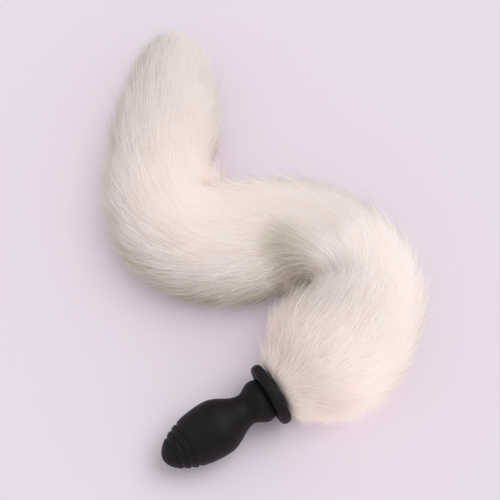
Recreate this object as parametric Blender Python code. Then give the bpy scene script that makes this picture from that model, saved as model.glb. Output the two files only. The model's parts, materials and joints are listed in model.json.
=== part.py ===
"""A black silicone plug with a white fur tail, lying on a table. Metres, +Z up."""

import math
import random
from collections import namedtuple

import bmesh
import bpy
from mathutils import Matrix, Vector

# Plug, measured along its own axis from the tip of its nose
BULB_DIAMETER = 0.0320
NOSE_LENGTH = 0.0325  # tip of the nose to the widest ring of the bulb
NOSE_POWER = 0.52  # 0.5 gives a plain ellipse, more a slimmer nose
FIRST_GROOVE = 0.0076  # tip of the nose to the first groove
GROOVE_PITCH = 0.0041
GROOVE_COUNT = 3
GROOVE_DEPTH = 0.0008
GROOVE_WIDTH = 0.0020
NECK_DIAMETER = 0.0180
BULB_TO_NECK = 0.0205
BULB_POWER = 1.2  # more than 1 keeps the bulb full for longer towards the neck
SHOULDER_DIAMETER = 0.0248
NECK_TO_SHOULDER = 0.0085
SHOULDER_LENGTH = 0.0048  # widest ring of the shoulder to the flange
SEAM_DIAMETER = 0.0222  # where the shoulder dips in beside the flange
SEAM_POWER = 2.5  # how late the shoulder dips
SEAM_SINK = 0.0004  # how far the seam lies behind the flange's flat front
FLANGE_DIAMETER = 0.0368
FLANGE_THICKNESS = 0.0062
FLANGE_EDGE_RADIUS = 0.0026
FACE_CLEARANCE = 0.0005  # from the shoulder's radius out to where the flange's front is flat
PLUG_HEADING = 31.2  # degrees from +X, seen from above

# Hidden post
POST_DIAMETER = 0.0060
POST_LENGTH = 0.0190
POST_CHAMFER = 0.0006
POST_CLEARANCE = 0.0003
TAIL_GAP = 0.0003  # between the flange and the tail's backing
FRONT_SHARE = 0.72  # of the flange's diameter, for the tail's flat front face

# Tail, without its locks
TAIL_LENGTH = 0.3340
TAIL_WIDTH = 0.0700
TAIL_HEIGHT = 0.0500
TAIL_PRESS = 1.15  # how far the underside would reach below the table if it weren't pressed flat
TAIL_CORE = 0.46  # height of the core as a share of the section's height
STRAIGHTEN = 0.0250  # over which the sections turn upright behind the tilted flange
PUFF_LENGTH = 0.0260  # over which the fur swells out behind the flange
BEND_SHARE = 0.88  # of a bend's radius, the most that the tail's inner side may fill

# Locks of fur
LOCK_LENGTH = 0.0340
LOCK_WIDTH = 0.0190
LOCK_RIDGE = 0.0030
LOCK_LIFT = 0.0062  # how far a lock's point stands off the backing
LOCK_PITCH = 0.0235  # along the tail
LAST_POINT = 1.01  # share of the tail's length that no lock's point passes
LOCK_FOOT = 0.0008  # least height of a lock over the table
LOCK_LOWEST = -28  # degrees around the tail from its left side, where the lowest locks grow
LOCK_SEED = 7
CROWDED_BEND = 0.0450  # inside bends tighter than this radius the fur is pressed together
CROWDED_SIDE = 0.3  # cosine of the angle from the bend's inner side where locks start again

# Mesh fineness
PLUG_SIDES = 32
POST_SIDES = 24
TAIL_SIDES = 20
TAIL_RINGS = 46
LOCKS_AROUND = 8
SMALL_TURN = 0.02  # radians, for reading the backing's direction around the tail

# Each row is a section of the tail. along, width and height are shares of the tail's length,
# greatest width and greatest height. heading is in degrees, counted left from the plug's heading.
Section = namedtuple("Section", "along heading width height")
TAIL_SECTIONS = (
    Section(0.000, 0, 0.70, 0.80),
    Section(0.030, 0, 0.75, 0.82),
    Section(0.080, 8, 1.00, 0.95),
    Section(0.140, 20, 1.06, 1.00),
    Section(0.190, 34, 0.98, 1.00),
    Section(0.245, 67, 0.90, 0.98),
    Section(0.300, 100, 0.85, 0.96),
    Section(0.345, 124, 0.88, 0.96),
    Section(0.390, 145, 0.95, 0.97),
    Section(0.450, 153, 1.00, 0.98),
    Section(0.520, 147, 0.98, 0.98),
    Section(0.580, 118, 0.99, 0.97),
    Section(0.640, 85, 0.97, 0.96),
    Section(0.700, 63, 0.91, 0.96),
    Section(0.760, 54, 0.88, 0.95),
    Section(0.830, 55, 0.82, 0.91),
    Section(0.900, 58, 0.69, 0.82),
    Section(0.950, 62, 0.52, 0.68),
    Section(0.985, 64, 0.31, 0.48),
    Section(1.000, 64, 0.12, 0.30),
)


def clear_scene():
    for obj in list(bpy.data.objects):
        bpy.data.objects.remove(obj, do_unlink=True)


def make_material(name, colour, roughness, metallic=0.0):
    material = bpy.data.materials.new(name)
    material.use_nodes = True
    shader = material.node_tree.nodes["Principled BSDF"]
    shader.inputs["Base Color"].default_value = (*colour, 1.0)
    shader.inputs["Roughness"].default_value = roughness
    shader.inputs["Metallic"].default_value = metallic
    return material


def make_object(name, bm, material, smooth_angle=None):
    mesh = bpy.data.meshes.new(name)
    bmesh.ops.recalc_face_normals(bm, faces=bm.faces)
    bm.to_mesh(mesh)
    bm.free()
    if smooth_angle is not None:
        mesh.shade_smooth()
        mesh.set_sharp_from_angle(angle=math.radians(smooth_angle))
    obj = bpy.data.objects.new(name, mesh)
    bpy.context.scene.collection.objects.link(obj)
    if material:
        mesh.materials.append(material)
    return obj


def turned(profile, sides):
    """A closed solid turned around +X from (along, radius) points, the first and last on the axis."""
    bm = bmesh.new()
    rings = []
    for along, radius in profile:
        if radius == 0:
            rings.append([bm.verts.new((along, 0, 0))])
            continue
        angles = [math.tau * i / sides for i in range(sides)]
        rings.append([bm.verts.new((along, radius * math.cos(a), radius * math.sin(a))) for a in angles])
    for lower, upper in zip(rings, rings[1:]):
        join_rings(bm, lower, upper)
    return bm


def join_rings(bm, lower, upper):
    """Skins two rings of points, either of which may be a single point."""
    count = max(len(lower), len(upper))
    for i in range(count):
        j = (i + 1) % count
        if len(lower) == 1:
            bm.faces.new((lower[0], upper[i], upper[j]))
        elif len(upper) == 1:
            bm.faces.new((lower[i], upper[0], lower[j]))
        else:
            bm.faces.new((lower[i], upper[i], upper[j], lower[j]))


def groove_cut(along):
    """How deep the nose's grooves cut at a place along the plug."""
    cut = 0.0
    for i in range(GROOVE_COUNT):
        off = abs(along - FIRST_GROOVE - i * GROOVE_PITCH) / (GROOVE_WIDTH / 2)
        if off < 1:
            cut = max(cut, GROOVE_DEPTH * (1 - off * off))
    return cut


def nose_radius(along):
    back = 1 - along / NOSE_LENGTH
    return BULB_DIAMETER / 2 * (1 - back * back) ** NOSE_POWER


def nose_places():
    """Places along the nose and bulb front: a round tip, the grooves and ribs, then the bulb."""
    tip = [FIRST_GROOVE * share for share in (0.03, 0.12, 0.27, 0.48, 0.72)]
    ribs = []
    for i in range(GROOVE_COUNT):
        middle = FIRST_GROOVE + i * GROOVE_PITCH
        half = GROOVE_WIDTH / 2
        ribs += [middle - half, middle - half / 2, middle, middle + half / 2, middle + half]
    start = ribs[-1]
    front = [start + (NOSE_LENGTH - start) * share for share in (0.25, 0.5, 0.75, 1.0)]
    return tip + ribs + front


def plug_profile():
    """(along, radius) from the tip to the middle of the flange's back."""
    points = [(0.0, 0.0)]
    points += [(along, nose_radius(along) - groove_cut(along)) for along in nose_places()]

    bulb, neck = BULB_DIAMETER / 2, NECK_DIAMETER / 2
    for share in (0.15, 0.3, 0.45, 0.6, 0.75, 0.88, 1.0):
        swell = (1 + math.cos(math.pi * share**BULB_POWER)) / 2
        points.append((NOSE_LENGTH + BULB_TO_NECK * share, neck + (bulb - neck) * swell))

    shoulder, seam = SHOULDER_DIAMETER / 2, SEAM_DIAMETER / 2
    neck_end = NOSE_LENGTH + BULB_TO_NECK
    for share in (0.2, 0.4, 0.6, 0.8, 1.0):
        swell = (1 - math.cos(math.pi * share)) / 2
        points.append((neck_end + NECK_TO_SHOULDER * share, neck + (shoulder - neck) * swell))
    crest = neck_end + NECK_TO_SHOULDER
    dip = SHOULDER_LENGTH + SEAM_SINK
    for share in (0.45, 0.8, 1.0):
        points.append((crest + dip * share, shoulder - (shoulder - seam) * share**SEAM_POWER))

    front = crest + SHOULDER_LENGTH
    rim, edge = FLANGE_DIAMETER / 2, min(FLANGE_EDGE_RADIUS, 0.48 * FLANGE_THICKNESS)
    back = front + FLANGE_THICKNESS
    points.append((front, shoulder + FACE_CLEARANCE))
    for middle, first in ((front + edge, 180), (back - edge, 90)):
        for step in range(5):
            angle = math.radians(first - step * 22.5)
            points.append((middle + edge * math.cos(angle), rim - edge + edge * math.sin(angle)))
    return points + socket_profile(back)


def socket_profile(back):
    """The blind socket in the flange's back: its mouth, wall and floor."""
    radius = POST_DIAMETER / 2 + POST_CLEARANCE
    floor = back - post_reach()
    return [(back, radius), (floor, radius), (floor, 0.0)]


def post_reach():
    """Depth of each socket from the face that it opens in."""
    return (POST_LENGTH - TAIL_GAP) / 2 + POST_CLEARANCE


def plug_length():
    return NOSE_LENGTH + BULB_TO_NECK + NECK_TO_SHOULDER + SHOULDER_LENGTH + FLANGE_THICKNESS


def rest_tilt(profile):
    """The tilt at which the bulb and the flange's rim both touch the table."""
    split = NOSE_LENGTH + BULB_TO_NECK
    widest = [p for p in profile if p[0] > split]
    rim = max(widest, key=lambda p: p[1])
    rim_ring = [p for p in widest if p[1] > rim[1] - FLANGE_EDGE_RADIUS]
    bulb_ring = [p for p in profile if 0 < p[0] < split]
    return max(min(math.atan2(r[1] - b[1], r[0] - b[0]) for b in bulb_ring) for r in rim_ring)


def plug_frame(profile):
    """Places the plug's axis: its flange's back over the world's origin, its lowest points at z = 0."""
    tilt = rest_tilt(profile)
    turn = Matrix.Rotation(math.radians(PLUG_HEADING), 4, "Z") @ Matrix.Rotation(-tilt, 4, "Y")
    lowest = min((turn @ Vector((along, 0, -radius))).z for along, radius in profile)
    end = turn @ Vector((plug_length(), 0, 0))
    return Matrix.Translation((-end.x, -end.y, -lowest)) @ turn, tilt


def eased(share):
    share = min(max(share, 0.0), 1.0)
    return share * share * (3 - 2 * share)


def section_value(column, along):
    """A smooth curve through one column of the tail's table."""
    rows = TAIL_SECTIONS
    along = min(max(along, 0.0), 1.0)
    places = [row.along for row in rows]
    values = [getattr(row, column) for row in rows]
    last = len(rows) - 1
    i = max(k for k in range(last) if places[k] <= along)

    def slope(k):
        low, high = max(k - 1, 0), min(k + 1, last)
        return (values[high] - values[low]) / (places[high] - places[low])

    span = places[i + 1] - places[i]
    t = (along - places[i]) / span
    start = values[i] * (1 + 2 * t) * (1 - t) ** 2 + slope(i) * span * t * (1 - t) ** 2
    return start + values[i + 1] * t * t * (3 - 2 * t) + slope(i + 1) * span * t * t * (t - 1)


class Tail:
    """The tail's backing as a surface over (share along, angle around)."""

    steps = 400

    def __init__(self, frame, tilt):
        self.tilt = tilt
        self.front = FRONT_SHARE * FLANGE_DIAMETER / 2
        root = frame @ Vector((plug_length() + TAIL_GAP, 0, 0))
        self.root_height = root.z
        self.core = [Vector((root.x, root.y, 0))]
        stride = TAIL_LENGTH / self.steps
        for k in range(self.steps):
            heading = self.heading((k + 0.5) / self.steps)
            self.core.append(self.core[-1] + stride * Vector((math.cos(heading), math.sin(heading), 0)))

    def heading(self, along):
        return math.radians(PLUG_HEADING + section_value("heading", along))

    def place(self, along):
        """The point of the core over a share of the length, carried on straight past both ends."""
        inside = min(max(along, 0.0), 1.0)
        k = min(int(inside * self.steps), self.steps - 1)
        point = self.core[k].lerp(self.core[k + 1], inside * self.steps - k)
        heading = self.heading(inside)
        return point + (along - inside) * TAIL_LENGTH * Vector((math.cos(heading), math.sin(heading), 0))

    def bend_radius(self, along):
        """Radius of the core's bend, positive where it bends left."""
        reach = 0.5 / len(TAIL_SECTIONS)
        turn = self.heading(min(along + reach, 1)) - self.heading(max(along - reach, 0))
        run = (min(along + reach, 1) - max(along - reach, 0)) * TAIL_LENGTH
        return run / turn if abs(turn) > 1e-6 else math.inf

    def point(self, along, angle, out=0.0):
        """A point on the backing, moved outwards. Angle 0 is the tail's left, 90 degrees its top."""
        heading = self.heading(min(max(along, 0), 1))
        upright = eased(along * TAIL_LENGTH / STRAIGHTEN)
        ahead_of_puff = 1 - min(max(along, 0) * TAIL_LENGTH / PUFF_LENGTH, 1)
        puff = math.sqrt(1 - ahead_of_puff**2)
        tall = TAIL_HEIGHT * section_value("height", along)
        wide = self.front + (TAIL_WIDTH / 2 * section_value("width", along) - self.front) * puff
        middle = self.root_height + (TAIL_CORE * tall - self.root_height) * upright
        upper = self.front + (tall - middle - self.front) * puff
        lower = min(upper, TAIL_PRESS * middle)
        side, rise = math.cos(angle), math.sin(angle)
        bend = self.bend_radius(along)
        if bend * side > 0:
            wide = min(wide, BEND_SHARE * abs(bend))
        high = upper if rise > 0 else lower
        across = (wide + out) * side
        up = (high + out) * rise
        lean = self.tilt * (1 - upright)
        place = self.place(along)
        left = Vector((-math.sin(heading), math.cos(heading), 0))
        ahead = Vector((math.cos(heading), math.sin(heading), 0))
        spot = place + left * across - ahead * up * math.sin(lean)
        spot.z = max(middle + up * math.cos(lean), 0.0)
        return spot


def tail_backing(tail):
    """The closed skin under the locks, with a flat front face and a small flat end."""
    bm = bmesh.new()
    rings = []
    for k in range(TAIL_RINGS + 1):
        along = k / TAIL_RINGS
        angles = [math.tau * i / TAIL_SIDES for i in range(TAIL_SIDES)]
        rings.append([bm.verts.new(tail.point(along, angle)) for angle in angles])
    for lower, upper in zip(rings, rings[1:]):
        join_rings(bm, lower, upper)
    bm.faces.new(rings[0])
    bm.faces.new(rings[-1])
    return bm


# A lock's own sections: share of its length, then shares of its width, ridge and lift
LockSection = namedtuple("LockSection", "along width ridge lift")
LOCK_SECTIONS = (
    LockSection(0.00, 0.55, 0.5, -0.60),
    LockSection(0.42, 1.00, 1.0, -0.20),
    LockSection(0.74, 0.60, 0.8, 0.35),
)


def add_lock(bm, tail, along, angle, size, swing):
    """A pointed lock of fur along the backing, with its root sunk in and its point standing off."""
    run = min(LOCK_LENGTH * size / TAIL_LENGTH, LAST_POINT - along)
    rings = []
    for row in LOCK_SECTIONS:
        here = along + run * row.along
        around = angle + swing * row.along
        lift = LOCK_LIFT * row.lift
        middle = tail.point(here, around, lift)
        left = tail.point(here, around - SMALL_TURN, lift)
        right = tail.point(here, around + SMALL_TURN, lift)
        across = (right - left).normalized()
        out = (tail.point(here, around, lift + LOCK_RIDGE) - middle).normalized()
        wide = across * LOCK_WIDTH * size * row.width / 2
        corners = [middle + wide, middle + out * LOCK_RIDGE * row.ridge, middle - wide]
        for corner in corners:
            corner.z = max(corner.z, LOCK_FOOT)
        rings.append([bm.verts.new(corner) for corner in corners])
    tip = bm.verts.new(tail.point(along + run, angle + swing, LOCK_LIFT))
    for lower, upper in zip(rings, rings[1:]):
        join_rings(bm, lower, upper)
    join_rings(bm, rings[-1], [tip])
    bm.faces.new(rings[0])


def crowded(tail, along, angle):
    """Whether a lock would grow inside a tight bend."""
    run = LOCK_LENGTH / TAIL_LENGTH
    for share in (0, 0.5, 1, 1.5):
        bend = tail.bend_radius(min(along + share * run, 1))
        if abs(bend) < CROWDED_BEND and bend * math.cos(angle) > CROWDED_SIDE * abs(bend):
            return True
    return False


def tail_locks(tail):
    """Staggered rows of locks over the top and both sides, none on the pressed underside."""
    draw = random.Random(LOCK_SEED)
    bm = bmesh.new()
    rows = round(TAIL_LENGTH / LOCK_PITCH)
    spread = 180 - 2 * LOCK_LOWEST
    for row in range(rows):
        for i in range(LOCKS_AROUND):
            share = (i + 0.5 * (row % 2) + draw.uniform(-0.15, 0.15)) / (LOCKS_AROUND - 0.5)
            angle = math.radians(LOCK_LOWEST + spread * share)
            along = (row + draw.uniform(0.1, 0.5)) / rows
            size = draw.uniform(0.85, 1.15)
            swing = math.radians(draw.uniform(-6, 6))
            if not crowded(tail, along, angle):
                add_lock(bm, tail, along, angle, size, swing)
    return bm


def make_post(frame, material):
    """A plain rod with chamfered ends, across the gap between the flange and the tail."""
    radius = POST_DIAMETER / 2
    narrow = radius - POST_CHAMFER
    profile = [(0, 0), (0, narrow), (POST_CHAMFER, radius)]
    profile += [(POST_LENGTH - along, wide) for along, wide in reversed(profile)]
    post = make_object("tail_post", turned(profile, POST_SIDES), material, 30)
    start = plug_length() + TAIL_GAP / 2 - POST_LENGTH / 2
    post.matrix_world = frame @ Matrix.Translation((start, 0, 0))
    return post


def cutter(name, bm, frame):
    obj = make_object(name, bm, None)
    obj.matrix_world = frame
    obj.hide_render = True
    obj.display_type = "WIRE"
    return obj


def add_boolean(obj, other, operation, self_overlap=False):
    boolean = obj.modifiers.new(other.name, "BOOLEAN")
    boolean.operation = operation
    boolean.object = other
    boolean.use_self = self_overlap


def make_tail(frame, tilt, material):
    tail = Tail(frame, tilt)
    fur = make_object("fur_tail", tail_backing(tail), material, 40)
    locks = cutter("lock_shapes", tail_locks(tail), Matrix.Identity(4))
    add_boolean(fur, locks, "UNION", self_overlap=True)

    radius = POST_DIAMETER / 2 + POST_CLEARANCE
    depth = TAIL_GAP + post_reach()
    hole = turned([(0, 0), (0, radius), (depth, radius), (depth, 0)], POST_SIDES)
    socket = cutter("socket_shape", hole, frame @ Matrix.Translation((plug_length(), 0, 0)))
    add_boolean(fur, socket, "DIFFERENCE")
    return [fur, locks, socket]


def centre_on_origin(root, solids):
    """Moves everything so that the origin is under the middle of the object, on the table."""
    bpy.context.view_layer.update()
    graph = bpy.context.evaluated_depsgraph_get()
    corners = []
    for obj in solids:
        shown = obj.evaluated_get(graph)
        corners += [obj.matrix_world @ vertex.co for vertex in shown.data.vertices]
    low = [min(corner[axis] for corner in corners) for axis in range(3)]
    high = [max(corner[axis] for corner in corners) for axis in range(3)]
    root.location = (-(low[0] + high[0]) / 2, -(low[1] + high[1]) / 2, -low[2])
    bpy.context.view_layer.update()


def build():
    clear_scene()
    black = make_material("black_silicone", (0.016, 0.014, 0.016), 0.45)
    white = make_material("white_fur", (0.86, 0.80, 0.74), 0.95)
    steel = make_material("post_steel", (0.55, 0.55, 0.56), 0.35, 1.0)

    profile = plug_profile()
    frame, tilt = plug_frame(profile)
    plug = make_object("plug_body", turned(profile, PLUG_SIDES), black, 40)
    plug.matrix_world = frame
    post = make_post(frame, steel)
    fur, *shapes = make_tail(frame, tilt, white)

    root = bpy.data.objects.new("tail_plug", None)
    bpy.context.scene.collection.objects.link(root)
    for obj in (plug, post, fur, *shapes):
        obj.parent = root
    centre_on_origin(root, (plug, fur))


build()
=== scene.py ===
import json
import math

import bmesh
import bpy
import numpy as np
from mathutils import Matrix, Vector


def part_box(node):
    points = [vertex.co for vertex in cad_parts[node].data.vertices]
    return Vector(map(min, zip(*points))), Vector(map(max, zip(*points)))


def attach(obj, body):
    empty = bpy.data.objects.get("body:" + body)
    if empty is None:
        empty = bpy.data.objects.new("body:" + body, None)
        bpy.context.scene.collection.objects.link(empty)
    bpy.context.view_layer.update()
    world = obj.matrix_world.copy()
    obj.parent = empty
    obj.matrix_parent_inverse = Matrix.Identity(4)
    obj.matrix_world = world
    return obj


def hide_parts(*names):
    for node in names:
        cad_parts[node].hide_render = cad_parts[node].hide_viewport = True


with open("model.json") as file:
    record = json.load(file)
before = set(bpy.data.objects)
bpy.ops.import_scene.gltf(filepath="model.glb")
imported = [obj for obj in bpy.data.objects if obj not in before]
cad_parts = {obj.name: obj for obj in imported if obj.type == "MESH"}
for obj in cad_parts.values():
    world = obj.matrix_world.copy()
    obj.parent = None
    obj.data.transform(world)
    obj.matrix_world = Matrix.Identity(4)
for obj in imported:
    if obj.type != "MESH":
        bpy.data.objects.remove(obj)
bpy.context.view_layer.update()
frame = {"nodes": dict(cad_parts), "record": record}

scene = bpy.context.scene


def linkObject(name, data):
    made = bpy.data.objects.new(name, data)
    scene.collection.objects.link(made)
    return made


# Camera, floor and light

camera = {
    "target": (-0.0052, -0.0023, 0.0),  # on the table, in the middle of the view
    "distance": 0.735,
    "elevation": 68.0,  # degrees above the table
    "lens": 88.5,
    "sensor": 36.0,
}
studio = {
    "floorSize": 6.0,
    "floorColour": (0.789, 0.701, 0.789),
    "worldColour": (1.0, 1.0, 1.0),
    "worldStrength": 0.70,
    "keyPlace": (0.52, 0.26, 0.92),
    "keyAngle": 46.0,  # degrees, how wide the light looks from the table
    "keyPower": 1.24,
    "fillPlace": (0.50, -0.70, 0.30),  # low light that only the fur next to the plug takes up
    "fillAngle": 40.0,
    "fillPower": 0.81,
    "bounces": 10,  # light goes on from strand to strand
}


def makeCamera(look):
    data = bpy.data.cameras.new("camera")
    data.lens = look["lens"]
    data.sensor_width = look["sensor"]
    data.clip_start = 0.01
    made = linkObject("camera", data)
    up = math.radians(look["elevation"])
    target = Vector(look["target"])
    made.location = target + look["distance"] * Vector((0, -math.cos(up), math.sin(up)))
    made.rotation_euler = (math.pi / 2 - up, 0, 0)
    scene.camera = made


def makeStudio(look):
    half = look["floorSize"] / 2
    mesh = bpy.data.meshes.new("floor")
    corners = [(-half, -half, 0), (half, -half, 0), (half, half, 0), (-half, half, 0)]
    mesh.from_pydata(corners, [], [(0, 1, 2, 3)])
    floor = linkObject("floor", mesh)
    paper = bpy.data.materials.new("paper")
    paper.use_nodes = True
    shader = paper.node_tree.nodes["Principled BSDF"]
    shader.inputs["Base Color"].default_value = (*look["floorColour"], 1)
    shader.inputs["Roughness"].default_value = 0.9
    shader.inputs["Specular IOR Level"].default_value = 0.0
    mesh.materials.append(paper)

    world = bpy.data.worlds.new("room")
    world.use_nodes = True
    sky = world.node_tree.nodes["Background"]
    sky.inputs["Color"].default_value = (*look["worldColour"], 1)
    sky.inputs["Strength"].default_value = look["worldStrength"]
    scene.world = world

    for name in ("key", "fill"):
        lamp = bpy.data.lights.new(name, "SUN")
        lamp.angle = math.radians(look[name + "Angle"])
        lamp.energy = look[name + "Power"]
        made = linkObject(name, lamp)
        made.location = look[name + "Place"]
        made.rotation_euler = Vector(look[name + "Place"]).to_track_quat("Z", "Y").to_euler()
    scene.cycles.max_bounces = look["bounces"] + 2
    scene.cycles.diffuse_bounces = look["bounces"]


makeCamera(camera)
makeStudio(studio)
scene.view_settings.view_transform = "Standard"
print("camera, floor and light ready")


# Node building

def feed(tree, socket, value):
    if isinstance(value, bpy.types.NodeSocket):
        tree.links.new(value, socket)
    else:
        socket.default_value = value


def addNode(tree, kind, inputs=None, **settings):
    node = tree.nodes.new(kind)
    for name, value in settings.items():
        setattr(node, name, value)
    for name, value in (inputs or {}).items():
        found = [s for s in node.inputs if s.name == name and s.enabled]
        feed(tree, found[0] if isinstance(name, str) else node.inputs[name], value)
    return node


def shown(node):
    return next(socket for socket in node.outputs if socket.enabled)


def number(tree, operation, *values):
    kind = "ShaderNodeMath"
    return addNode(tree, kind, dict(enumerate(values)), operation=operation).outputs[0]


def vector(tree, operation, *values):
    kind = "ShaderNodeVectorMath"
    node = addNode(tree, kind, dict(enumerate(values)), operation=operation)
    return node.outputs["Value" if operation in ("DOT_PRODUCT", "LENGTH") else "Vector"]


def scaled(tree, value, factor):
    inputs = {"Vector": value, "Scale": factor}
    return addNode(tree, "ShaderNodeVectorMath", inputs, operation="SCALE").outputs[0]


# Plug: the turned body again, with a finer skin

plugSizes = {
    "bulb": 0.0320, "nose": 0.0325, "nosePower": 0.52,
    "firstGroove": 0.0076, "groovePitch": 0.0041, "grooves": 3, "grooveDepth": 0.0008, "grooveWidth": 0.0020,
    "neck": 0.0180, "bulbToNeck": 0.0205, "bulbPower": 1.2,
    "shoulder": 0.0248, "neckToShoulder": 0.0085, "shoulderLength": 0.0048,
    "seam": 0.0222, "seamPower": 2.5, "seamSink": 0.0004, "faceClearance": 0.0005,
    "flange": 0.0368, "flangeThickness": 0.0062, "flangeEdge": 0.0026,
    "tailGap": 0.0003, "socket": 0.0066, "socketDepth": 0.0096,
    "sides": 96, "step": 0.0004,
    "tipShares": (0.002, 0.008, 0.02, 0.035), "firstStep": 5,  # closer rings at the tip of the nose
    "waistStride": 1.6, "shoulderStride": 0.8,  # in steps
    "edgeSteps": 12,  # in each quarter turn of the flange's rim
    "sharpFrom": 50.0,  # degrees
}


def plugLine():
    # the plug's axis: a point on it at the flange's back, and the direction from the nose
    mount = next(m for m in frame["record"]["mounts"] if m["name"] == "flange_face")
    low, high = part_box("tail_post")
    ahead = -Vector(mount["axis"]).normalized()
    back = (low + high) / 2 - ahead * plugSizes["tailGap"] / 2
    return back, ahead


def plugAxes():
    back, ahead = plugLine()
    left = Vector((-ahead.y, ahead.x, 0)).normalized()
    return back, ahead, left, ahead.cross(left)


def grooveCut(size, along):
    cut = 0.0
    for i in range(size["grooves"]):
        off = abs(along - size["firstGroove"] - i * size["groovePitch"]) / (size["grooveWidth"] / 2)
        if off < 1:
            cut = max(cut, size["grooveDepth"] * (1 - off * off))
    return cut


def plugProfile(size):
    nose, bulb, neck = size["nose"], size["bulb"] / 2, size["neck"] / 2
    shoulder, seam = size["shoulder"] / 2, size["seam"] / 2
    points = [(0.0, 0.0)]
    for share in size["tipShares"]:
        points.append((nose * share, bulb * (1 - (1 - share) ** 2) ** size["nosePower"]))
    steps = round(nose / size["step"])
    for along in [nose * k / steps for k in range(size["firstStep"], steps + 1)]:
        full = bulb * (1 - (1 - along / nose) ** 2) ** size["nosePower"]
        points.append((along, full - grooveCut(size, along)))

    def stretch(start, length, radiusAt, stride):
        count = round(length / size["step"] / stride)
        for k in range(1, count + 1):
            points.append((start + length * k / count, radiusAt(k / count)))

    stretch(nose, size["bulbToNeck"],
            lambda t: neck + (bulb - neck) * (1 + math.cos(math.pi * t ** size["bulbPower"])) / 2,
            size["waistStride"])
    start = nose + size["bulbToNeck"]
    stretch(start, size["neckToShoulder"],
            lambda t: neck + (shoulder - neck) * (1 - math.cos(math.pi * t)) / 2,
            size["waistStride"])
    start += size["neckToShoulder"]
    stretch(start, size["shoulderLength"] + size["seamSink"],
            lambda t: shoulder - (shoulder - seam) * t ** size["seamPower"],
            size["shoulderStride"])
    front = start + size["shoulderLength"]
    points.append((front, shoulder + size["faceClearance"]))

    back = front + size["flangeThickness"]
    rim, edge = size["flange"] / 2, size["flangeEdge"]
    for middle, first in ((front + edge, 180), (back - edge, 90)):
        for k in range(size["edgeSteps"] + 1):
            turn = math.radians(first - k * 90 / size["edgeSteps"])
            points.append((middle + edge * math.cos(turn), rim - edge + edge * math.sin(turn)))
    hole = size["socket"] / 2
    points += [(back, hole), (back - size["socketDepth"], hole), (back - size["socketDepth"], 0.0)]
    return points, back


def makePlug(size):
    profile, length = plugProfile(size)
    back, ahead, left, up = plugAxes()
    bm = bmesh.new()
    rings = []
    for along, radius in profile:
        spot = back + ahead * (along - length)
        count = size["sides"] if radius > 0 else 1
        turns = [math.tau * k / count for k in range(count)]
        rings.append([bm.verts.new(spot + radius * (left * math.cos(a) + up * math.sin(a))) for a in turns])
    for here, after in zip(rings, rings[1:]):
        for k in range(size["sides"]):
            j = (k + 1) % size["sides"]
            corners = [here[k % len(here)], after[k % len(after)],
                       after[j % len(after)], here[j % len(here)]]
            bm.faces.new(list(dict.fromkeys(corners)))
    bmesh.ops.recalc_face_normals(bm, faces=bm.faces)
    mesh = bpy.data.meshes.new("plug_skin")
    bm.to_mesh(mesh)
    bm.free()
    mesh.shade_smooth()
    mesh.set_sharp_from_angle(angle=math.radians(size["sharpFrom"]))
    return linkObject("plug_skin", mesh)


uneven = (3.0, 0.6)  # detail and roughness of the coarser noise


def noise(tree, place, scale, detail=2.0, rough=0.5):
    inputs = {"Vector": place, "Scale": scale, "Detail": detail, "Roughness": rough}
    return addNode(tree, "ShaderNodeTexNoise", inputs).outputs["Fac"]


def spread(tree, value, low, high):
    # a 0..1 value onto another range
    node = addNode(tree, "ShaderNodeMapRange", {"Value": value, "To Min": low, "To Max": high})
    return node.outputs["Result"]


def blend(tree, share, first, second):
    node = addNode(tree, "ShaderNodeMix", data_type="RGBA")
    sockets = {s.name: s for s in node.inputs if s.enabled}
    feed(tree, sockets["Factor"], share)
    feed(tree, sockets["A"], first)
    feed(tree, sockets["B"], second)
    return next(s for s in node.outputs if s.enabled)


def newMaterial(name):
    made = bpy.data.materials.new(name)
    made.use_nodes = True
    return made, made.node_tree, made.node_tree.nodes["Principled BSDF"]


silicone = {
    "colour": (0.0046, 0.0032, 0.0040, 1),
    "worn": (0.0088, 0.0067, 0.0078, 1),  # faint bloom on the rubbed skin
    "smoothest": 0.50,
    "roughest": 0.62,
    "fineShare": 0.06,  # of the roughness, changing with the grain
    "shine": 0.19,
    "cloud": 55.0,
    "patches": (-0.6, 1.4),  # more than the whole range, so that none is fully worn
    "grain": 2600.0,
    "grainDepth": 0.00002,
    "grainStrength": 0.5,
}


def siliconeMaterial(look):
    made, tree, shader = newMaterial("blackSilicone")
    place = addNode(tree, "ShaderNodeTexCoord").outputs["Object"]
    cloud = noise(tree, place, look["cloud"], *uneven)
    fine = noise(tree, place, look["grain"])
    patches = spread(tree, cloud, *look["patches"])
    feed(tree, shader.inputs["Base Color"], blend(tree, patches, look["colour"], look["worn"]))
    rough = spread(tree, cloud, look["smoothest"], look["roughest"] - look["fineShare"])
    rough = number(tree, "ADD", rough, number(tree, "MULTIPLY", fine, look["fineShare"]))
    feed(tree, shader.inputs["Roughness"], rough)
    bump = addNode(tree, "ShaderNodeBump", {
        "Height": fine, "Distance": look["grainDepth"], "Strength": look["grainStrength"]})
    feed(tree, shader.inputs["Normal"], bump.outputs["Normal"])
    shader.inputs["Specular IOR Level"].default_value = look["shine"]
    return made


steel = {
    "dark": (0.50, 0.50, 0.51, 1),
    "bright": (0.62, 0.62, 0.63, 1),
    "smoothest": 0.28,
    "roughest": 0.42,
    "brushing": 900.0,
}


def steelMaterial(look):
    made, tree, shader = newMaterial("brushedSteel")
    place = addNode(tree, "ShaderNodeTexCoord").outputs["Object"]
    lines = noise(tree, place, look["brushing"], *uneven)
    feed(tree, shader.inputs["Base Color"], blend(tree, lines, look["dark"], look["bright"]))
    feed(tree, shader.inputs["Roughness"], spread(tree, lines, look["smoothest"], look["roughest"]))
    shader.inputs["Metallic"].default_value = 1.0
    return made


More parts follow.
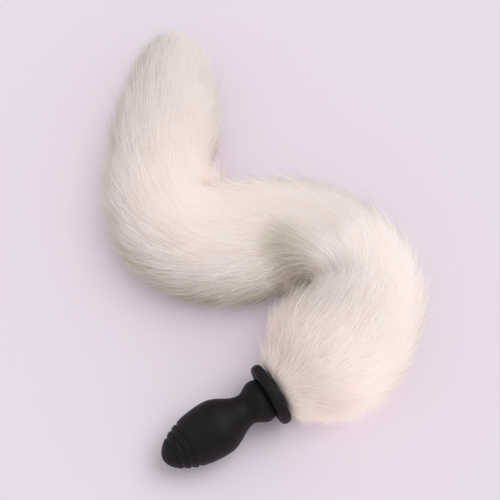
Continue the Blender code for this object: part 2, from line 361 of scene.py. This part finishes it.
plugSkin = makePlug(plugSizes)
plugSkin.data.materials.append(siliconeMaterial(silicone))
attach(plugSkin, "root")
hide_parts("plug_body")
post = frame["nodes"]["tail_post"]
post.data.materials.clear()
post.data.materials.append(steelMaterial(steel))
print("plug ready:", len(plugSkin.data.polygons), "faces")


# Tail: the skin that the fur grows from

tailSizes = {
    "length": 0.3340, "width": 0.0700, "height": 0.0500,
    "press": 1.15, "core": 0.46, "straighten": 0.0250, "puff": 0.0260, "bendShare": 0.88,
    "frontShare": 0.72,  # of the flange's diameter
    "steps": 400,
    "inset": 0.0072,  # depth of the pile, from the outer form down to the skin
    "collarInset": 0.0050,  # the same right behind the flange
    "collarLength": 0.0240,  # over which it grows
    "leastShare": 0.42,  # of a section's half width that the skin keeps where the tail is thin
    "foot": 0.0012,  # height of the skin over the table
    "rings": 150, "sides": 64,
    "start": 0.004, "end": 0.986,  # shares of the length that the skin covers
    "hollowFrom": (0.0235, -0.0385), "hollowTo": (0.0120, -0.0165),  # pressed in at the inner bend
    "hollowReach": 0.0115, "hollowDepth": 0.015,
    "partReach": 0.0300, "partShare": 0.7,  # the strands part round it
    "endFrom": 0.86, "endPile": 0.75,  # the strands shorten towards the tail's end
    "endSweep": 0.60,  # and turn to the right there
    "collarPile": 0.62, "collarStand": 1.45,  # they are short and steep behind the flange
    "tightAt": (0.40, 0.50), "tightPile": (0.40, 0.85),  # they are short where a bend leaves no room
    "tightStand": 0.2,  # and lie flat there
    "tightRoom": 0.9, "tightRise": 0.85, "tightSoft": 0.50,  # on the inner side only
    "hollowPile": 0.5,
    "paintedShadeReach": 0.0145, "paintedShadeFade": 0.4,  # painted shade in the hollow, standing in for the fur's shadow on itself
    "paintedShadeRise": 0.74, "paintedShadeSoft": 0.90, "paintedShadeLow": 0.48,  # and a little painted shade on its lower sides
    "paintedShadeFrom": 0.08, "paintedShadeFull": 0.28,  # shares of the length over which that sets in
    "shelterSide": (-0.30, -0.80), "paintedShadeEven": 0.55,  # stronger on the sides that face away from the key light, in front and to the left
    "paintedShadeOpen": 2.5,  # it fades where a bend leaves no room, and at the tail's end
    "paintedLightAt": (0.08, 0.17, 0.30, 0.48, 0.68, 0.84, 1.0),  # painted light and shade along the tail: brightest behind the plug, darker towards its end where less light falls
    "paintedLight": (1.07, 0.955, 0.93, 0.965, 1.035, 0.975, 0.885),
}
# share of the length, degrees left of the plug's heading, shares of the greatest width and height
tailSections = np.array((
    (0.000, 0, 0.70, 0.80),
    (0.030, 0, 0.75, 0.82),
    (0.080, 8, 1.00, 0.95),
    (0.140, 20, 1.06, 1.00),
    (0.190, 34, 0.98, 1.00),
    (0.245, 67, 0.90, 0.98),
    (0.300, 100, 0.85, 0.96),
    (0.345, 124, 0.88, 0.96),
    (0.390, 145, 0.95, 0.97),
    (0.450, 153, 1.00, 0.98),
    (0.520, 147, 0.98, 0.98),
    (0.580, 118, 0.99, 0.97),
    (0.640, 85, 0.97, 0.96),
    (0.700, 63, 0.91, 0.96),
    (0.760, 54, 0.88, 0.95),
    (0.830, 55, 0.82, 0.91),
    (0.900, 58, 0.69, 0.82),
    (0.950, 62, 0.52, 0.68),
    (0.985, 64, 0.31, 0.48),
    (1.000, 64, 0.12, 0.30),
))


def sectionValue(column, along):
    places, values = tailSections[:, 0], tailSections[:, column]
    low = np.maximum(np.arange(len(places)) - 1, 0)
    high = np.minimum(np.arange(len(places)) + 1, len(places) - 1)
    slopes = (values[high] - values[low]) / (places[high] - places[low])
    along = np.clip(along, 0, 1)
    i = np.clip(np.searchsorted(places, along, "right") - 1, 0, len(places) - 2)
    span = places[i + 1] - places[i]
    t = (along - places[i]) / span
    start = values[i] * (1 + 2 * t) * (1 - t) ** 2 + slopes[i] * span * t * (1 - t) ** 2
    return start + values[i + 1] * t * t * (3 - 2 * t) + slopes[i + 1] * span * t * t * (t - 1)


def tailSurface(size, along, turn, inset):
    # points of the tail's form for arrays of shares along and angles around, moved inwards
    back, ahead = plugLine()
    root = back + ahead * plugSizes["tailGap"]
    base = math.atan2(ahead.y, ahead.x)
    tilt = math.asin(ahead.z)

    def headingAt(share):
        return base + np.radians(sectionValue(1, share))

    stride = size["length"] / size["steps"]
    middles = headingAt((np.arange(size["steps"]) + 0.5) / size["steps"])
    coreX = root.x + np.concatenate(([0], np.cumsum(stride * np.cos(middles))))
    coreY = root.y + np.concatenate(([0], np.cumsum(stride * np.sin(middles))))
    shares = np.linspace(0, 1, size["steps"] + 1)

    heading = headingAt(along)
    run = along * size["length"]
    upright = np.clip(run / size["straighten"], 0, 1)
    upright = upright * upright * (3 - 2 * upright)
    puff = np.sqrt(1 - (1 - np.clip(run / size["puff"], 0, 1)) ** 2)
    front = size["frontShare"] * plugSizes["flange"] / 2
    tall = size["height"] * sectionValue(3, along)
    wide = front + (size["width"] / 2 * sectionValue(2, along) - front) * puff
    middle = root.z + (size["core"] * tall - root.z) * upright
    upper = front + (tall - middle - front) * puff
    lower = np.minimum(upper, size["press"] * middle)

    reach = 0.5 / len(tailSections)
    after, before = np.minimum(along + reach, 1), np.maximum(along - reach, 0)
    bend = (after - before) * size["length"] / (headingAt(after) - headingAt(before) + 1e-9)
    side, rise = np.cos(turn), np.sin(turn)
    wide = np.where(bend * side > 0, np.minimum(wide, size["bendShare"] * abs(bend)), wide)
    high = np.where(rise > 0, upper, lower)
    wide = np.maximum(wide - inset, size["leastShare"] * wide)
    high = np.maximum(high - inset, size["leastShare"] * high)
    across, up = wide * side, high * rise
    lean = tilt * (1 - upright)
    x = np.interp(along, shares, coreX) - np.sin(heading) * across - np.cos(heading) * up * np.sin(lean)
    y = np.interp(along, shares, coreY) + np.cos(heading) * across - np.sin(heading) * up * np.sin(lean)
    z = middle + up * np.cos(lean)
    return np.stack((x, y, np.maximum(z, 0)), axis=-1)


def unit(values):
    return values / np.maximum(np.linalg.norm(values, axis=-1, keepdims=True), 1e-9)


def makeTailSkin(size):
    along = np.linspace(size["start"], size["end"], size["rings"])[:, None] * np.ones((1, size["sides"]))
    turn = (np.arange(size["sides"]) * math.tau / size["sides"])[None, :] * np.ones((size["rings"], 1))
    behind = np.clip(along * size["length"] / size["collarLength"], 0, 1)
    inset = size["collarInset"] + (size["inset"] - size["collarInset"]) * behind
    spots = tailSurface(size, along, turn, inset)

    # the hollow of the inner bend
    start = np.array(size["hollowFrom"])
    path = np.array(size["hollowTo"]) - start
    share = np.clip((spots[..., :2] - start) @ path / (path @ path), 0, 1)
    beside = spots[..., :2] - start - share[..., None] * path
    apart = np.linalg.norm(beside, axis=-1)
    pressed = np.clip(1 - (apart / size["hollowReach"]) ** 2, 0, 1) ** 2
    spots[..., 2] -= size["hollowDepth"] * (1 - share) * pressed
    spots[..., 2] = np.maximum(spots[..., 2], size["foot"])

    # which way the strands run, how long they are and how steep
    stride = size["length"] * (size["end"] - size["start"]) / (size["rings"] - 1)
    room = np.linalg.norm(np.gradient(spots, axis=0), axis=-1) / stride
    flow = unit(np.gradient(spots, axis=0))
    around = (np.roll(spots, -1, axis=1) - np.roll(spots, 1, axis=1)) / 2
    rise = unit(np.cross(around, flow))
    flow = unit(flow - rise * np.sum(flow * rise, axis=-1, keepdims=True))
    toEnd = np.clip((along - size["endFrom"]) / (size["end"] - size["endFrom"]), 0, 1)
    right = np.cross(flow, (0, 0, 1))
    away = np.zeros_like(flow)
    away[..., :2] = unit(beside) * np.clip(1 - apart / size["partReach"], 0, 1)[..., None]
    flow = unit(flow + size["endSweep"] * toEnd[..., None] * right + size["partShare"] * away)
    flow = unit(flow - rise * np.sum(flow * rise, axis=-1, keepdims=True))
    inner = np.clip((size["tightRise"] - rise[..., 2]) / size["tightSoft"], 0, 1)
    tight = inner * (1 - np.clip(room / size["tightRoom"], 0, 1))
    pile = 1 - tight * (1 - np.interp(along, size["tightAt"], size["tightPile"]))
    pile *= (1 - (1 - size["endPile"]) * toEnd) * (1 - size["hollowPile"] * pressed)
    pile *= size["collarPile"] + (1 - size["collarPile"]) * behind
    stand = size["collarStand"] + (1 - size["collarStand"]) * behind
    stand *= 1 - tight * (1 - size["tightStand"])

    # painted shade: in the hollow and on the lower sides away from the key light; and painted light and
    # shade along the tail
    low = np.clip((size["paintedShadeRise"] - rise[..., 2]) / size["paintedShadeSoft"], 0, 1)
    near = np.clip(1 - (apart / size["paintedShadeReach"]) ** 2, 0, 1) * (1 - size["paintedShadeFade"] * share)
    low *= np.interp(along, (size["paintedShadeFrom"], size["paintedShadeFull"]), (0, 1))
    low *= np.clip(1 - size["paintedShadeOpen"] * tight - toEnd, 0, 1)
    low *= np.maximum(size["paintedShadeEven"] + rise[..., :2] @ np.array(size["shelterSide"]), 0)
    shelter = np.maximum(near, size["paintedShadeLow"] * low)
    # painted light and shade along the tail, as a factor on the fur's colour
    paintedLight = np.interp(along, size["paintedLightAt"], size["paintedLight"])
    # the shade attribute carries the painted shade and the painted light
    shade = np.stack((shelter, paintedLight, np.zeros_like(paintedLight)), axis=-1)

    rings, sides = size["rings"], size["sides"]
    verts = spots.reshape(-1, 3)
    faces = []
    for i in range(rings - 1):
        for k in range(sides):
            j = (k + 1) % sides
            faces.append((i * sides + k, i * sides + j, (i + 1) * sides + j, (i + 1) * sides + k))
    verts = np.concatenate((verts, spots[:1].mean(axis=1), spots[-1:].mean(axis=1)))
    first, last = rings * sides, rings * sides + 1
    for k in range(sides):
        j = (k + 1) % sides
        faces.append((j, k, first))
        faces.append(((rings - 1) * sides + k, (rings - 1) * sides + j, last))
    mesh = bpy.data.meshes.new("tail_skin")
    mesh.from_pydata(verts.tolist(), [], faces)
    mesh.shade_smooth()

    back, ahead = plugLine()
    end = unit(spots[-1] - spots[-2]).mean(axis=0)
    flows = np.concatenate((flow.reshape(-1, 3), [tuple(ahead)], [end]))
    rises = np.concatenate((rise.reshape(-1, 3), [tuple(-ahead)], [end]))

    def capped(values):
        return np.concatenate((values.reshape(rings * sides, -1), values[:1, 0].reshape(1, -1),
                               values[-1:, 0].reshape(1, -1)))

    for name, kind, key, values in (
        ("flow", "FLOAT_VECTOR", "vector", flows),
        ("rise", "FLOAT_VECTOR", "vector", rises),
        ("shade", "FLOAT_VECTOR", "vector", capped(shade)),
        ("along", "FLOAT", "value", capped(along)),
        ("pile", "FLOAT", "value", capped(pile)),
        ("stand", "FLOAT", "value", capped(stand)),
    ):
        mesh.attributes.new(name, kind, "POINT").data.foreach_set(key, values.astype(np.float32).ravel())
    return linkObject("tail_skin", mesh)


tailSkin = makeTailSkin(tailSizes)
print("tail skin ready:", len(tailSkin.data.polygons), "faces")


# Fur: every strand is a thin blade that follows the tail's flow, drawn into soft locks

fur = {
    "strands": 4.4e6,  # on a square metre of skin
    "bottomShare": 0.25,  # of that, under the tail
    "bottomFrom": -0.6, "bottomFull": -0.95,  # heights of the skin's direction where that sets in
    "length": 0.0235,
    "spread": 0.28,
    "lockLengths": (0.9, 1.1),
    "guardShare": 0.14,
    "guardLength": 1.15,
    "guardLift": 0.20,
    "lift": 0.42,
    "lifts": (0.7, 1.3), "lockLifts": (0.85, 1.15),
    "width": 0.00026,
    "taper": 2.2,  # more keeps the blades broad for longer
    "roll": 0.6,
    "rollScatter": 97.0,  # strands of nearly the same tint still roll differently
    "swing": 0.17,
    "lockSwing": 0.10,
    "lockSpacing": 0.0058,
    "clumping": 0.20,
    "clumpPower": 1.6,  # more draws only the tips together
    "frizz": 0.0008,
    "floor": 0.0005,
    "collar": 0.0003,  # free space behind the flange
    "collarRoom": 0.001,  # that reaches so far past its rim
    "sway": 0.35,  # how far the shading turns with a lock
    "lean": 0.25,  # and along a strand
    "lockTint": 0.55,  # share of the colour change that a lock has as a whole
}
furRanges = (0.0, 0.14, 0.28, 0.42, 0.56, 0.74, 0.979)  # shares along the tail, one piece of fur each
furSeeds = {
    "guard": 11, "length": 12, "lift": 13, "swing": 14, "tint": 15, "frizz": 31,
    "locks": 5, "lockLength": 21, "lockLift": 22, "lockSwing": 23, "lockTint": 24,
    "piece": 100,  # times the number of the piece, for its own strands
}
strandSlopes = (1.35, 0.95, 0.70)  # how steeply each third of a strand rises, times its lift


def strandInputs(tree):
    sockets = (
        ("Skin", "NodeSocketGeometry"),
        ("From", "NodeSocketFloat"), ("To", "NodeSocketFloat"),
        ("Strands", "NodeSocketFloat"), ("Bottom Share", "NodeSocketFloat"),
        ("Length", "NodeSocketFloat"), ("Spread", "NodeSocketFloat"),
        ("Guard Share", "NodeSocketFloat"), ("Guard Length", "NodeSocketFloat"),
        ("Lift", "NodeSocketFloat"), ("Guard Lift", "NodeSocketFloat"),
        ("Width", "NodeSocketFloat"), ("Roll", "NodeSocketFloat"),
        ("Swing", "NodeSocketFloat"), ("Lock Swing", "NodeSocketFloat"),
        ("Lock Spacing", "NodeSocketFloat"), ("Clumping", "NodeSocketFloat"),
        ("Frizz", "NodeSocketFloat"), ("Floor", "NodeSocketFloat"),
        ("Collar", "NodeSocketFloat"), ("Flange Radius", "NodeSocketFloat"),
        ("Flange Back", "NodeSocketVector"), ("Flange Axis", "NodeSocketVector"),
        ("Seed", "NodeSocketInt"), ("Material", "NodeSocketMaterial"),
    )
    for name, kind in sockets:
        tree.interface.new_socket(name, in_out="INPUT", socket_type=kind)
    tree.interface.new_socket("Fur", in_out="OUTPUT", socket_type="NodeSocketGeometry")


def makeStrandTree():
    tree = bpy.data.node_groups.new("furStrands", "GeometryNodeTree")
    strandInputs(tree)
    given = tree.nodes.new("NodeGroupInput").outputs
    place = addNode(tree, "GeometryNodeInputPosition").outputs[0]

    def named(name, kind="FLOAT_VECTOR"):
        return shown(addNode(tree, "GeometryNodeInputNamedAttribute", {"Name": name}, data_type=kind))

    def store(geometry, name, value, kind="FLOAT_VECTOR"):
        inputs = {"Geometry": geometry, "Name": name, "Value": value}
        settings = {"data_type": kind, "domain": "POINT"}
        return addNode(tree, "GeometryNodeStoreNamedAttribute", inputs, **settings).outputs[0]

    def chance(low, high, seed, owner=None, kind="FLOAT"):
        inputs = {"Min": low, "Max": high, "Seed": number(tree, "ADD", given["Seed"], float(seed))}
        if owner is not None:
            inputs["ID"] = owner
            inputs["Seed"] = seed
        return shown(addNode(tree, "FunctionNodeRandomValue", inputs, data_type=kind))

    def onSkin(name, spot):
        inputs = {"Mesh": given["Skin"], "Value": named(name), "Sample Position": spot}
        return shown(addNode(tree, "GeometryNodeSampleNearestSurface", inputs, data_type="FLOAT_VECTOR"))

    # roots, thinner under the tail, and the middles of the locks
    along = named("along", "FLOAT")
    down = addNode(tree, "ShaderNodeSeparateXYZ", {0: named("rise")}).outputs["Z"]
    bare = addNode(tree, "ShaderNodeMapRange", {
        "Value": down, "From Min": fur["bottomFull"], "From Max": fur["bottomFrom"],
        "To Min": given["Bottom Share"], "To Max": 1.0})
    inside = number(tree, "MULTIPLY", number(tree, "GREATER_THAN", along, given["From"]),
                    number(tree, "LESS_THAN", along, given["To"]))
    density = number(tree, "MULTIPLY", given["Strands"], bare.outputs["Result"])
    points = addNode(tree, "GeometryNodeDistributePointsOnFaces", {
        "Mesh": given["Skin"], "Selection": inside,
        "Density": density, "Seed": given["Seed"]}).outputs["Points"]
    perLock = number(tree, "MULTIPLY", given["Lock Spacing"], given["Lock Spacing"])
    perLock = number(tree, "DIVIDE", 1.0, perLock)
    locks = addNode(tree, "GeometryNodeDistributePointsOnFaces", {
        "Mesh": given["Skin"], "Density": perLock, "Seed": furSeeds["locks"]}).outputs["Points"]
    nearest = addNode(tree, "GeometryNodeSampleNearest", {"Geometry": locks, "Sample Position": place})
    points = store(points, "stepLock", nearest.outputs[0], "INT")
    lock = named("stepLock", "INT")
    middle = shown(addNode(tree, "GeometryNodeSampleIndex", {
        "Geometry": locks, "Value": place, "Index": lock}, data_type="FLOAT_VECTOR"))
    points = store(points, "stepPull", vector(tree, "SUBTRACT", middle, place))
    points = store(points, "step0", place)
    points = store(points, "stepShade0", named("shade"))

    # how long, how steep and which way each strand runs
    guard = number(tree, "LESS_THAN", chance(0.0, 1.0, furSeeds["guard"]), given["Guard Share"])
    longer = number(tree, "MULTIPLY", guard, number(tree, "SUBTRACT", given["Guard Length"], 1.0))
    longer = number(tree, "ADD", 1.0, longer)
    few = number(tree, "SUBTRACT", 1.0, given["Spread"])
    many = number(tree, "ADD", 1.0, given["Spread"])
    length = number(tree, "MULTIPLY", longer, named("pile", "FLOAT"))
    length = number(tree, "MULTIPLY", given["Length"], length)
    change = number(tree, "MULTIPLY", chance(few, many, furSeeds["length"]),
                    chance(*fur["lockLengths"], furSeeds["lockLength"], lock))
    length = number(tree, "MULTIPLY", length, change)
    change = number(tree, "MULTIPLY", chance(*fur["lifts"], furSeeds["lift"]),
                    chance(*fur["lockLifts"], furSeeds["lockLift"], lock))
    lift = number(tree, "MULTIPLY", given["Lift"], change)
    raised = number(tree, "ADD", 1.0, number(tree, "MULTIPLY", guard, given["Guard Lift"]))
    lift = number(tree, "MULTIPLY", number(tree, "MULTIPLY", lift, raised), named("stand", "FLOAT"))
    alone = chance(-1.0, 1.0, furSeeds["swing"])
    together = chance(-1.0, 1.0, furSeeds["lockSwing"], lock)
    swing = number(tree, "ADD", number(tree, "MULTIPLY", given["Swing"], alone),
                   number(tree, "MULTIPLY", given["Lock Swing"], together))
    points = store(points, "stepLength", length, "FLOAT")
    points = store(points, "stepLift", lift, "FLOAT")
    points = store(points, "stepSwing", swing, "FLOAT")
    alone = chance(0.0, 1.0, furSeeds["tint"])
    together = chance(0.0, 1.0, furSeeds["lockTint"], lock)
    tint = number(tree, "ADD", number(tree, "MULTIPLY", fur["lockTint"], together),
                  number(tree, "MULTIPLY", 1 - fur["lockTint"], alone))
    points = store(points, "tint", tint, "FLOAT")

    # walk each strand along the skin in three stretches
    third = number(tree, "DIVIDE", named("stepLength", "FLOAT"), 3.0)
    for k, slope in enumerate(strandSlopes):
        here = named(f"step{k}")
        flow = named("flow") if k == 0 else onSkin("flow", here)
        rise = named("rise") if k == 0 else onSkin("rise", here)
        if k == 1:
            points = store(points, "stepRise", rise)
            rise = named("stepRise")
        sideways = vector(tree, "CROSS_PRODUCT", rise, flow)
        climb = number(tree, "MULTIPLY", named("stepLift", "FLOAT"), slope)
        way = vector(tree, "ADD", flow, scaled(tree, rise, climb))
        way = vector(tree, "ADD", way, scaled(tree, sideways, named("stepSwing", "FLOAT")))
        spot = vector(tree, "ADD", here, scaled(tree, vector(tree, "NORMALIZE", way), third))
        pull = ((k + 1) / 3) ** fur["clumpPower"] - (k / 3) ** fur["clumpPower"]
        pull = number(tree, "MULTIPLY", given["Clumping"], pull)
        spot = vector(tree, "ADD", spot, scaled(tree, named("stepPull"), pull))
        corner = (1.0, 1.0, 1.0)
        loose = chance((-1.0, -1.0, -1.0), corner, furSeeds["frizz"] + k, kind="FLOAT_VECTOR")
        frizz = number(tree, "MULTIPLY", given["Frizz"], (k + 1) / 3)
        spot = vector(tree, "ADD", spot, scaled(tree, loose, frizz))

        # clear of the flange's back and of the table
        off = vector(tree, "SUBTRACT", spot, given["Flange Back"])
        depth = vector(tree, "DOT_PRODUCT", off, given["Flange Axis"])
        flat = vector(tree, "SUBTRACT", off, scaled(tree, given["Flange Axis"], depth))
        near = number(tree, "LESS_THAN", vector(tree, "LENGTH", flat), given["Flange Radius"])
        push = number(tree, "MAXIMUM", number(tree, "SUBTRACT", given["Collar"], depth), 0.0)
        push = number(tree, "MULTIPLY", push, near)
        spot = vector(tree, "ADD", spot, scaled(tree, given["Flange Axis"], push))
        parts = addNode(tree, "ShaderNodeSeparateXYZ", {0: spot}).outputs
        height = number(tree, "MAXIMUM", parts["Z"], given["Floor"])
        inputs = {"X": parts["X"], "Y": parts["Y"], "Z": height}
        spot = addNode(tree, "ShaderNodeCombineXYZ", inputs).outputs[0]
        points = store(points, f"step{k + 1}", spot)
        points = store(points, f"stepShade{k + 1}", onSkin("shade", named(f"step{k + 1}")))

    # one flat blade, its point merged, laid along every strand
    blade = addNode(tree, "GeometryNodeMeshGrid", {
        "Size X": 1.0, "Size Y": 1.0, "Vertices X": 4, "Vertices Y": 2}).outputs["Mesh"]
    parts = addNode(tree, "ShaderNodeSeparateXYZ", {0: place}).outputs
    share = number(tree, "ADD", parts["X"], 0.5)
    blade = store(blade, "strandT", share, "FLOAT")
    narrow = number(tree, "SUBTRACT", 1.0, number(tree, "POWER", named("strandT", "FLOAT"), fur["taper"]))
    width = number(tree, "MULTIPLY", parts["Y"], narrow)
    blade = store(blade, "stepWidth", width, "FLOAT")
    flatPlace = addNode(tree, "ShaderNodeCombineXYZ", {"X": parts["X"], "Y": width, "Z": 0.0}).outputs[0]
    blade = addNode(tree, "GeometryNodeSetPosition", {"Geometry": blade, "Position": flatPlace}).outputs[0]
    blade = addNode(tree, "GeometryNodeMergeByDistance", {"Geometry": blade, "Distance": 0.001}).outputs[0]
    strands = addNode(tree, "GeometryNodeInstanceOnPoints", {"Points": points, "Instance": blade}).outputs[0]
    strands = addNode(tree, "GeometryNodeRealizeInstances", {"Geometry": strands}).outputs[0]

    nearestStep = number(tree, "ROUND", number(tree, "MULTIPLY", named("strandT", "FLOAT"), 3.0))

    def picked(name):
        pick = addNode(tree, "GeometryNodeIndexSwitch", data_type="VECTOR")
        pick.index_switch_items.new()
        pick.index_switch_items.new()
        feed(tree, pick.inputs["Index"], nearestStep)
        for k in range(4):
            feed(tree, pick.inputs[k + 1], named(f"{name}{k}"))
        return shown(pick)

    # painted shade and painted light, taken where each part of a strand lies
    strands = store(strands, "shade", picked("stepShade"))
    run = vector(tree, "NORMALIZE", vector(tree, "SUBTRACT", named("step3"), named("step0")))
    rise = named("stepRise")
    across = vector(tree, "NORMALIZE", vector(tree, "CROSS_PRODUCT", rise, run))
    roll = number(tree, "FRACT", number(tree, "MULTIPLY", named("tint", "FLOAT"), fur["rollScatter"]))
    roll = number(tree, "SUBTRACT", number(tree, "MULTIPLY", 2.0, roll), 1.0)
    roll = number(tree, "MULTIPLY", given["Roll"], roll)
    edge = vector(tree, "ADD", scaled(tree, across, number(tree, "COSINE", roll)),
                  scaled(tree, rise, number(tree, "SINE", roll)))
    offset = scaled(tree, edge, number(tree, "MULTIPLY", named("stepWidth", "FLOAT"), given["Width"]))
    strands = addNode(tree, "GeometryNodeSetPosition", {
        "Geometry": strands, "Position": vector(tree, "ADD", picked("step"), offset)}).outputs[0]

    # soft shading: the skin's direction, turned a little by each lock and towards the strand
    swayed = scaled(tree, across, number(tree, "MULTIPLY", named("stepSwing", "FLOAT"), fur["sway"]))
    leant = scaled(tree, run, number(tree, "MULTIPLY", named("strandT", "FLOAT"), fur["lean"]))
    normal = vector(tree, "NORMALIZE", vector(tree, "ADD", rise, vector(tree, "ADD", swayed, leant)))
    soft = addNode(tree, "GeometryNodeSetMeshNormal", {"Mesh": strands}, mode="FREE", domain="POINT")
    feed(tree, next(s for s in soft.inputs if s.type == "VECTOR"), normal)
    strands = soft.outputs[0]
    for name in ("step*", "flow", "rise", "along", "pile", "stand"):
        inputs = {"Geometry": strands, "Name": name}
        strands = addNode(tree, "GeometryNodeRemoveAttribute", inputs, pattern_mode="WILDCARD").outputs[0]
    done = addNode(tree, "GeometryNodeSetMaterial", {"Geometry": strands, "Material": given["Material"]})
    tree.links.new(done.outputs[0], tree.nodes.new("NodeGroupOutput").inputs[0])
    return tree


furColours = {
    "root": (0.76, 0.71, 0.675, 1),
    "tip": (0.880, 0.823, 0.805, 1),
    "warm": (0.860, 0.795, 0.760, 1),
    # painted shade colour for the hollow and the lower sides
    "shade": (0.575, 0.50, 0.395, 1),
    "palePower": 0.6,  # less makes the strands pale closer to the root
    "rough": 0.85,
    "shine": 0.25,
    "underRough": 0.95,
    "underGrain": 420.0,
    "underDepth": 0.001,
    "underStrength": 0.6,
}


def furMaterial(look):
    made, tree, shader = newMaterial("whiteFur")

    def attribute(name, output="Fac"):
        return addNode(tree, "ShaderNodeAttribute", attribute_name=name).outputs[output]

    parts = addNode(tree, "ShaderNodeSeparateXYZ", {0: attribute("shade", "Vector")}).outputs
    share = number(tree, "POWER", attribute("strandT"), look["palePower"])
    pale = blend(tree, attribute("tint"), look["tip"], look["warm"])
    strand = blend(tree, share, look["root"], pale)
    # painted shade from the shade attribute's first value, then painted light and shade along the tail from
    # its second
    shaded = blend(tree, parts["X"], strand, look["shade"])
    feed(tree, shader.inputs["Base Color"], scaled(tree, shaded, parts["Y"]))
    shader.inputs["Roughness"].default_value = look["rough"]
    shader.inputs["Specular IOR Level"].default_value = look["shine"]
    return made


def underfurMaterial(look):
    made, tree, shader = newMaterial("underfur")
    place = addNode(tree, "ShaderNodeTexCoord").outputs["Object"]
    cloud = noise(tree, place, look["underGrain"], *uneven)
    feed(tree, shader.inputs["Base Color"], blend(tree, cloud, look["root"], look["warm"]))
    shader.inputs["Roughness"].default_value = look["underRough"]
    bump = addNode(tree, "ShaderNodeBump", {
        "Height": cloud, "Distance": look["underDepth"], "Strength": look["underStrength"]})
    feed(tree, shader.inputs["Normal"], bump.outputs["Normal"])
    return made


def makeFurPiece(count, start, end, tree, material):
    # a copy of the skin carries the modifier until its strands are a mesh
    carrier = linkObject("furCarrier", tailSkin.data.copy())
    modifier = carrier.modifiers.new("strands", "NODES")
    modifier.node_group = tree
    back, ahead = plugLine()
    values = {
        "From": start, "To": end,
        "Strands": fur["strands"], "Bottom Share": fur["bottomShare"],
        "Length": fur["length"], "Spread": fur["spread"],
        "Guard Share": fur["guardShare"], "Guard Length": fur["guardLength"],
        "Lift": fur["lift"], "Guard Lift": fur["guardLift"],
        "Width": fur["width"], "Roll": fur["roll"],
        "Swing": fur["swing"], "Lock Swing": fur["lockSwing"],
        "Lock Spacing": fur["lockSpacing"], "Clumping": fur["clumping"],
        "Frizz": fur["frizz"], "Floor": fur["floor"], "Collar": fur["collar"],
        "Flange Radius": plugSizes["flange"] / 2 + fur["collarRoom"], "Flange Back": tuple(back),
        "Flange Axis": tuple(ahead), "Seed": furSeeds["piece"] * count, "Material": material,
    }
    for socket in tree.interface.items_tree:
        if socket.in_out == "INPUT" and socket.name in values:
            modifier[socket.identifier] = values[socket.name]
    bpy.context.view_layer.update()
    graph = bpy.context.evaluated_depsgraph_get()
    mesh = bpy.data.meshes.new_from_object(carrier.evaluated_get(graph))
    mesh.name = f"fur_{count}"
    bpy.data.objects.remove(carrier)
    return linkObject(f"fur_{count}", mesh)


furTree = makeStrandTree()
furFinish = furMaterial(furColours)
tailSkin.data.materials.append(underfurMaterial(furColours))
tailPieces = [tailSkin]
for count, (start, end) in enumerate(zip(furRanges, furRanges[1:]), 1):
    piece = makeFurPiece(count, start, end, furTree, furFinish)
    print(piece.name, "triangles:", sum(len(face.vertices) - 2 for face in piece.data.polygons))
    tailPieces.append(piece)

# the fill light reaches only the fur next to the plug
furLit = bpy.data.collections.new("furLit")
for piece in tailPieces[1:3]:
    furLit.objects.link(piece)
bpy.data.objects["fill"].light_linking.receiver_collection = furLit

for piece in tailPieces:
    piece.visible_shadow = piece is tailSkin  # light goes on through the strands
    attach(piece, "root")
    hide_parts("fur_tail")
print("fur ready:", len(tailPieces), "pieces")
